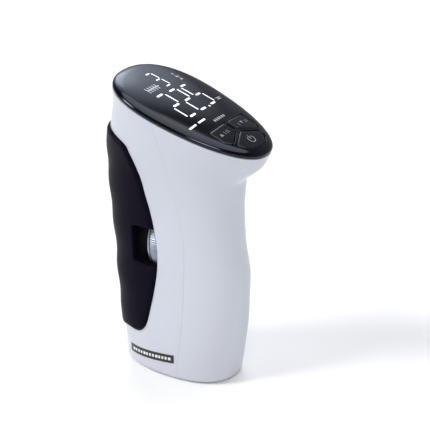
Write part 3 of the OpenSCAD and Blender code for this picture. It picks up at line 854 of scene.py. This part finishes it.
# the reading, its point and two dashes, and one small digit above
digits = digit(TWO, -15.0, -13.2, 19.0, 6.6, 1.25)
digits += digit(TWO, -14.3, -3.4, 18.2, 6.2, 1.2)
digits += digit(FIVE, -13.8, 6.1, 17.5, 5.9, 1.15)
digits.append(box(3.8, 4.4, 4.8, 5.3))
digits += [box(8.7, -20.5, 9.7, -15.2), box(8.7, -13.1, 9.7, -7.6)]
digits += digit(THREE, -30.2, 0.2, 12.2, 4.4, 0.85)
decal("display_digits_lit", digits, MAT_LIT, "housing", "lit_segments", nodes=("display_digits",))

# small dim signs in plain blocks: a comb, a unit block, a figure and a scale of dots
icons = []
for k in range(5):
    icons.append(box(-22.8, -11.8 + 1.9 * k, -18.6, -11.2 + 1.9 * k))
    icons.append(box(-21.1, -11.1 + 1.9 * k, -20.3, -10.0 + 1.9 * k))
icons += [box(1.7, 14.4, 2.1, 19.0), box(2.8, 14.8, 3.2, 18.6), box(1.7, 16.4, 3.5, 16.9)]
icons += [box(-24.2, 14.3, -23.0, 15.3), box(-22.4, 14.6, -18.4, 15.0), box(-21.0, 13.4, -20.4, 16.2),
          box(-18.4, 13.8, -17.6, 15.8)]
for k in range(6):
    icons.append(box(12.2, -4.8 + 1.65 * k, 13.7, -4.0 + 1.65 * k))
decal("display_icons_lit", icons, MAT_LIT_DIM, "housing", "lit_segments", nodes=("display_icons",))

# plain signs on the keys: a triangle and three strokes on each side key, an open ring on the end one
decal("mark_up", [[(20.1, -11.3), (22.1, -12.4), (22.1, -10.2)], box(20.3, -8.5, 22.3, -8.2),
                  box(20.3, -6.8, 22.3, -6.5), box(20.3, -5.6, 22.3, -5.3)],
      MAT_MARK, "key_up", "keys", lift=0.03 - KEY_SINK)
decal("mark_down", [[(22.1, 8.0), (20.1, 9.1), (20.1, 6.9)], box(20.3, 10.6, 22.3, 10.9),
                    box(20.3, 12.0, 22.3, 12.3), box(20.3, 4.8, 22.3, 5.1)],
      MAT_MARK, "key_down", "keys", lift=0.03 - KEY_SINK)


def ring_arc(cu, cv, r, a0, a1, wide, n=20):
    """Part of a flat ring, from angle a0 to a1."""
    pts = []
    for k in range(n + 1):
        t = a0 + (a1 - a0) * k / n
        pts.append((cu + (r + wide / 2) * math.cos(t), cv + (r + wide / 2) * math.sin(t)))
    for k in range(n, -1, -1):
        t = a0 + (a1 - a0) * k / n
        pts.append((cu + (r - wide / 2) * math.cos(t), cv + (r - wide / 2) * math.sin(t)))
    return pts


decal("mark_set", [ring_arc(31.4, 0, 2.0, math.radians(215), math.radians(505), 0.5),
                   box(28.7, -0.25, 31.2, 0.25)], MAT_MARK, "key_set", "keys", lift=0.03 - KEY_SINK)


# ---------------------------------------------------------------- adjusting wheel
def adjust_wheel():
    """Knurled rim between two plain flanges, with a hub bore."""
    x, back = WHEEL_X, WHEEL_X + WHEEL_W
    # (x, radius, share of the tooth depth), from the bore round the outside and back to the bore
    profile = [(x, WHEEL_BORE_R, 0), (x, 11, 0), (x + 0.6, 11.6, 0), (x + 0.6, 15.6, 0),
               (x, 16.2, 0), (x, 17.4, 0), (x + 0.25, 17.7, 0), (x + 0.9, 17.7, 0),
               (x + 1.1, 17.1, 0), (x + 1.45, 17.1, 0), (x + 1.65, 17.75, 0.3),
               (x + 1.9, 17.98, 1), (back - 0.4, 17.98, 1), (back - 0.1, 17.7, 0.4),
               (back, 17.3, 0), (back, HUB_R, 0), (HUB_END, HUB_R, 0), (HUB_END, WHEEL_BORE_R, 0)]
    n = 6 * TEETH
    rings = []
    for px, r, k in profile:
        ring = []
        for i in range(n):
            t = 2 * math.pi * i / n
            cut = TOOTH_DEPTH * k * (0.5 - 0.5 * math.cos(TEETH * t)) ** 2
            ring.append((px, (r - cut) * math.cos(t), SPINDLE_Z + (r - cut) * math.sin(t)))
        rings.append(ring)
    rings.append(rings[0])
    wheel = make("adjust_wheel_knurled", *skin_data(rings, capped=False))
    # the last ring lies on the first: weld them to close the wheel
    bm = bmesh.new()
    bm.from_mesh(wheel.data)
    bmesh.ops.remove_doubles(bm, verts=bm.verts, dist=1e-7)
    bmesh.ops.recalc_face_normals(bm, faces=bm.faces)
    bm.to_mesh(wheel.data)
    bm.free()
    return wheel


piece(adjust_wheel(), MAT_WHEEL, "wheel", "wheel_metal", "adjust_wheel", angle=40)


# ---------------------------------------------------------------- label strip
def surface_strip(name, corners, lift, thick, nu=40, nv=8):
    """A thin patch on the near side.

    Its corners are top left, bottom left, bottom right and top right, as (x, z).
    """
    tl, bl, br, tr = [Vector(c) for c in corners]
    verts, faces = [], []
    for level in (lift, lift + thick):
        for j in range(nv + 1):
            for i in range(nu + 1):
                a = tl.lerp(tr, i / nu)
                b = bl.lerp(br, i / nu)
                p = b.lerp(a, j / nv)
                verts.append((p.x, -surface_y(p.x, p.y) - level, p.y))
    row, layer = nu + 1, (nu + 1) * (nv + 1)
    for j in range(nv):
        for i in range(nu):
            k = j * row + i
            faces.append((k, k + 1, k + row + 1, k + row))
            faces.append((layer + k, layer + k + row, layer + k + row + 1, layer + k + 1))
    rim = [i for i in range(nu)] + [j * row + nu for j in range(nv)]
    rim += [nv * row + i for i in range(nu, 0, -1)] + [j * row for j in range(nv, 0, -1)]
    for a, b in zip(rim, rim[1:] + rim[:1]):
        faces.append((a, b, layer + b, layer + a))
    return make(name, verts, faces)


# the strip's corners as (x, z)
LABEL = [(-25.8, 11.6), (-25.8, 7.0), (2.4, 10.0), (2.4, 14.6)]


def label_point(s, t):
    """The (x, z) point at fraction s along the strip and t up it."""
    tl, bl, br, tr = [Vector(c) for c in LABEL]
    return tuple(bl.lerp(br, s).lerp(tl.lerp(tr, s), t))


label = surface_strip("label_strip", LABEL, 0.02, 0.2)
piece(label, MAT_LABEL, "housing", "label_black", "label_plate")
# plain ticks along the strip, every fourth one wider
for k in range(13):
    s0 = 0.07 + 0.068 * k
    s1 = s0 + (0.040 if k % 4 else 0.052)
    corners = [label_point(s0, 0.68), label_point(s0, 0.34),
               label_point(s1, 0.34), label_point(s1, 0.68)]
    tick = surface_strip("label_tick_%02d" % k, corners, 0.2, 0.06, 4, 2)
    piece(tick, MAT_PRINT, "housing", "label_black")


# ---------------------------------------------------------------- camera
AZIMUTH, ELEVATION, ROLL = math.radians(29.38), math.radians(24.77), math.radians(-0.54)
DISTANCE = 0.5905
PAN_RIGHT, PAN_UP = 0.01225, 0.01037
TARGET = Vector((SHIFT_X * MM, 0, 0.072))
back = Vector((math.sin(AZIMUTH) * math.cos(ELEVATION), -math.cos(AZIMUTH) * math.cos(ELEVATION),
               math.sin(ELEVATION)))
right = Vector((math.cos(AZIMUTH), math.sin(AZIMUTH), 0))
above = back.cross(right)
cr, sr = math.cos(ROLL), math.sin(ROLL)
cam_right = right * cr - above * sr
cam_up = right * sr + above * cr
place = TARGET + back * DISTANCE + cam_right * PAN_RIGHT + cam_up * PAN_UP
cam_data = bpy.data.cameras.new("camera")
cam_data.lens = 100.1
cam_data.sensor_width = 36
cam_data.clip_start = 0.01
camera = bpy.data.objects.new("camera", cam_data)
camera.matrix_world = Matrix(((cam_right.x, cam_up.x, back.x, place.x),
                              (cam_right.y, cam_up.y, back.y, place.y),
                              (cam_right.z, cam_up.z, back.z, place.z),
                              (0, 0, 0, 1)))
bpy.context.scene.collection.objects.link(camera)
bpy.context.scene.camera = camera


# ---------------------------------------------------------------- studio
def sun(name, toward, strength, degrees):
    """A broad soft sun whose light comes from the direction toward."""
    data = bpy.data.lights.new(name, "SUN")
    data.energy = strength
    data.angle = math.radians(degrees)
    obj = bpy.data.objects.new(name, data)
    obj.rotation_euler = Vector(toward).to_track_quat("Z", "Y").to_euler()
    bpy.context.scene.collection.objects.link(obj)


def mixed(nodes, links, how, a, b):
    """The colour of two sockets added or multiplied, as how says."""
    node = nodes.new("ShaderNodeMix")
    node.data_type = "RGBA"
    node.blend_type = how
    node.inputs["Factor"].default_value = 1.0
    links.new(a, node.inputs[6])
    links.new(b, node.inputs[7])
    return node.outputs[2]


SKY_COOL = (0.93, 0.95, 1.06)
SKY_LOW, SKY_TOP = (0.44, 0.45, 0.50, 1), (0.03, 0.03, 0.035, 1)
SKY_STEPS = [(0.42, 0.29), (0.58, 0.23), (0.74, 0.12)]   # (sine of the height angle, level)
SKY_TOP_AT = 0.92
PATCH = Vector((-0.46, 0.66, 0.60)).normalized()
PATCH_GAIN = 5.2


def studio_world():
    """Grey low down, darker overhead and in front, with one bright patch behind the finger side."""
    world = bpy.data.worlds.new("studio")
    world.use_nodes = True
    nodes, links = world.node_tree.nodes, world.node_tree.links
    where = nodes.new("ShaderNodeTexCoord")
    split = nodes.new("ShaderNodeSeparateXYZ")
    links.new(where.outputs["Generated"], split.inputs["Vector"])
    sky = nodes.new("ShaderNodeValToRGB")
    links.new(split.outputs["Z"], sky.inputs["Fac"])
    stops = sky.color_ramp.elements
    stops[0].position, stops[0].color = 0.0, SKY_LOW
    stops[1].position, stops[1].color = SKY_TOP_AT, SKY_TOP
    for at, level in SKY_STEPS:
        stop = stops.new(at)
        stop.color = (*(level * c for c in SKY_COOL), 1)
    lowered = ramp(nodes, links, split.outputs["Y"], grey(0.30), grey(1.0), at=(0.02, 0.40))
    behind = mixed(nodes, links, "MULTIPLY", sky.outputs["Color"], lowered.outputs["Color"])
    lobe = nodes.new("ShaderNodeVectorMath")
    lobe.operation = "DOT_PRODUCT"
    lobe.inputs[1].default_value = PATCH
    links.new(where.outputs["Generated"], lobe.inputs[0])
    patch = ramp(nodes, links, lobe.outputs["Value"], (0, 0, 0), (0.83, 0.91, 1.0), at=(0.925, 0.992))
    edge = patch.color_ramp.elements.new(0.975)
    edge.color = (0.24, 0.26, 0.30, 1)
    gain = nodes.new("ShaderNodeVectorMath")
    gain.operation = "SCALE"
    gain.inputs["Scale"].default_value = PATCH_GAIN
    links.new(patch.outputs["Color"], gain.inputs[0])
    total = mixed(nodes, links, "ADD", behind, gain.outputs["Vector"])
    links.new(total, nodes["Background"].inputs["Color"])
    bpy.context.scene.world = world


studio_world()
sun("key", (-0.55, -0.50, 0.72), 2.0, 20)
sun("fill", (0.42, -0.60, 0.68), 1.33, 22)
sun("top", (0.05, 0.25, 0.97), 1.15, 50)

FLOOR_HALF = 3000
FLOOR_DROP = 0.05    # just under the object, so that no faces coincide
corners = [(-FLOOR_HALF, -FLOOR_HALF, 0), (FLOOR_HALF, -FLOOR_HALF, 0), (FLOOR_HALF, FLOOR_HALF, 0),
           (-FLOOR_HALF, FLOOR_HALF, 0)]
floor = make("floor", corners, [(0, 1, 2, 3)], Matrix.Translation((0, 0, -FLOOR_DROP)))
finish_with(floor, surfaced("floor_pale", grey(0.90), grey(0.92), 0.7, 0.05, 2, bump=0.02))

bpy.context.scene.view_settings.view_transform = "Standard"
